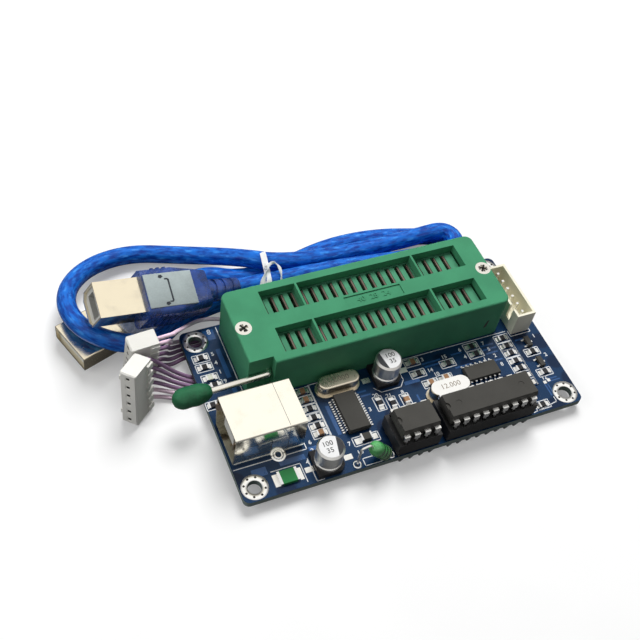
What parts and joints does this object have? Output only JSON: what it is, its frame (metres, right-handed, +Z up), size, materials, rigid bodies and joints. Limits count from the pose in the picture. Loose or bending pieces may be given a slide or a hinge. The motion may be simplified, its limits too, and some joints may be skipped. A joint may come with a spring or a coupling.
{
  "type": "usb microcontroller programmer",
  "caption": "Bare programmer board with a long lever socket, square cable inlet, shrouded header, chips and passives, with its tied cable and a six-wire lead beside it.",
  "frame": {"origin": "centre of the four mounting holes, on the board's underside", "axes": "+X along the board's long side away from the cable inlet, +Y towards the lever socket, +Z up out of the populated face"},
  "size_m": [0.1126, 0.0777, 0.022],
  "materials": {
    "board_mask": "satin solder mask over copper",
    "solder": "bright solder",
    "nickel_shell": "bright nickel plate",
    "white_insulator": "moulded",
    "gilt_contact": "thin gilt",
    "socket_green": "fine moulded",
    "contact_bronze": "tarnished bronze",
    "bright_steel": "bright zinc plate",
    "knob_green": "smooth moulded",
    "socket_black": "moulded",
    "tinned": "tinned",
    "chip_black": "moulded epoxy",
    "can_nickel": "nickel plate",
    "can_aluminium": "coated top",
    "base_black": "moulded",
    "choke_green": "dipped lacquer",
    "fuse_green": "coated",
    "resistor_black": "glazed",
    "ceramic_tan": "ceramic",
    "lamp_lens": "clear lens",
    "header_cream": "moulded",
    "plug_white": "moulded",
    "clear_blue": "clear tinted",
    "cable_blue": "clear tinted over a braid",
    "tie_white": "flat ribbon",
    "wire_skin": "insulation",
    "wire_skin_pale": "insulation"
  },
  "bodies": {
    "root": {"circuit_board": "board_mask", "solder_joints": "solder", "usb_socket_shell": "nickel_shell", "usb_socket_insulator": "white_insulator", "usb_socket_contacts": "gilt_contact", "zif_base": "socket_green", "zif_cover": "socket_green", "zif_contacts": "contact_bronze", "cover_screws": "bright_steel", "controller_socket": "socket_black", "controller_socket_contacts": "tinned", "controller_chip": "chip_black", "controller_leads": "tinned", "memory_socket": "socket_black", "memory_socket_contacts": "tinned", "memory_chip": "chip_black", "memory_leads": "tinned", "usb_bridge_chip": "chip_black", "usb_bridge_leads": "tinned", "logic_chip": "chip_black", "logic_leads": "tinned", "crystal_cans": "can_nickel", "crystal_bases": "can_nickel", "capacitor_cans": "can_aluminium", "capacitor_bases": "base_black", "choke_body": "choke_green", "choke_leads": "tinned", "resettable_fuse": "fuse_green", "fuse_terminals": "solder", "chip_resistors": "resistor_black", "chip_capacitors": "ceramic_tan", "chip_terminals": "solder", "indicator_led": "lamp_lens", "diode": "chip_black", "transistors": "chip_black", "transistor_leads": "tinned", "programming_header": "header_cream", "header_pins": "gilt_contact", "wire_plug_front": "plug_white", "wire_plug_back": "plug_white", "usb_b_plug_shell": "nickel_shell", "usb_b_plug_insert": "white_insulator", "usb_b_plug_overmould": "clear_blue", "usb_a_plug_shell": "nickel_shell", "usb_a_plug_insert": "white_insulator", "usb_a_plug_overmould": "clear_blue", "usb_cable_loop": "cable_blue", "usb_cable_b_lead": "cable_blue", "usb_cable_a_lead": "cable_blue", "usb_cable_hank": "cable_blue", "twist_tie": "tie_white", "programming_wire_1": "wire_skin_pale", "programming_wire_2": "wire_skin_pale", "programming_wire_3": "wire_skin", "programming_wire_4": "wire_skin", "programming_wire_5": "wire_skin", "programming_wire_6": "wire_skin"},
    "lever": {"clamp_lever": "bright_steel", "lever_knob": "knob_green"},
    "slider": {"contact_slider": "socket_green"}
  },
  "joints": [
    {"name": "lever_turn", "type": "hinge", "parent": "root", "child": "lever", "pos_m": [-0.0286, 0.00189, 0.009], "axis": [0, 1, 0], "range_deg": [0, 90]},
    {"name": "slider_travel", "type": "slide", "parent": "root", "child": "slider", "axis": [1, 0, 0], "range_m": [0, 0.0012]}
  ],
  "couplings": [
    {"joint": "slider_travel", "follows": "lever_turn", "m_per_rad": 0.00076}
  ]
}
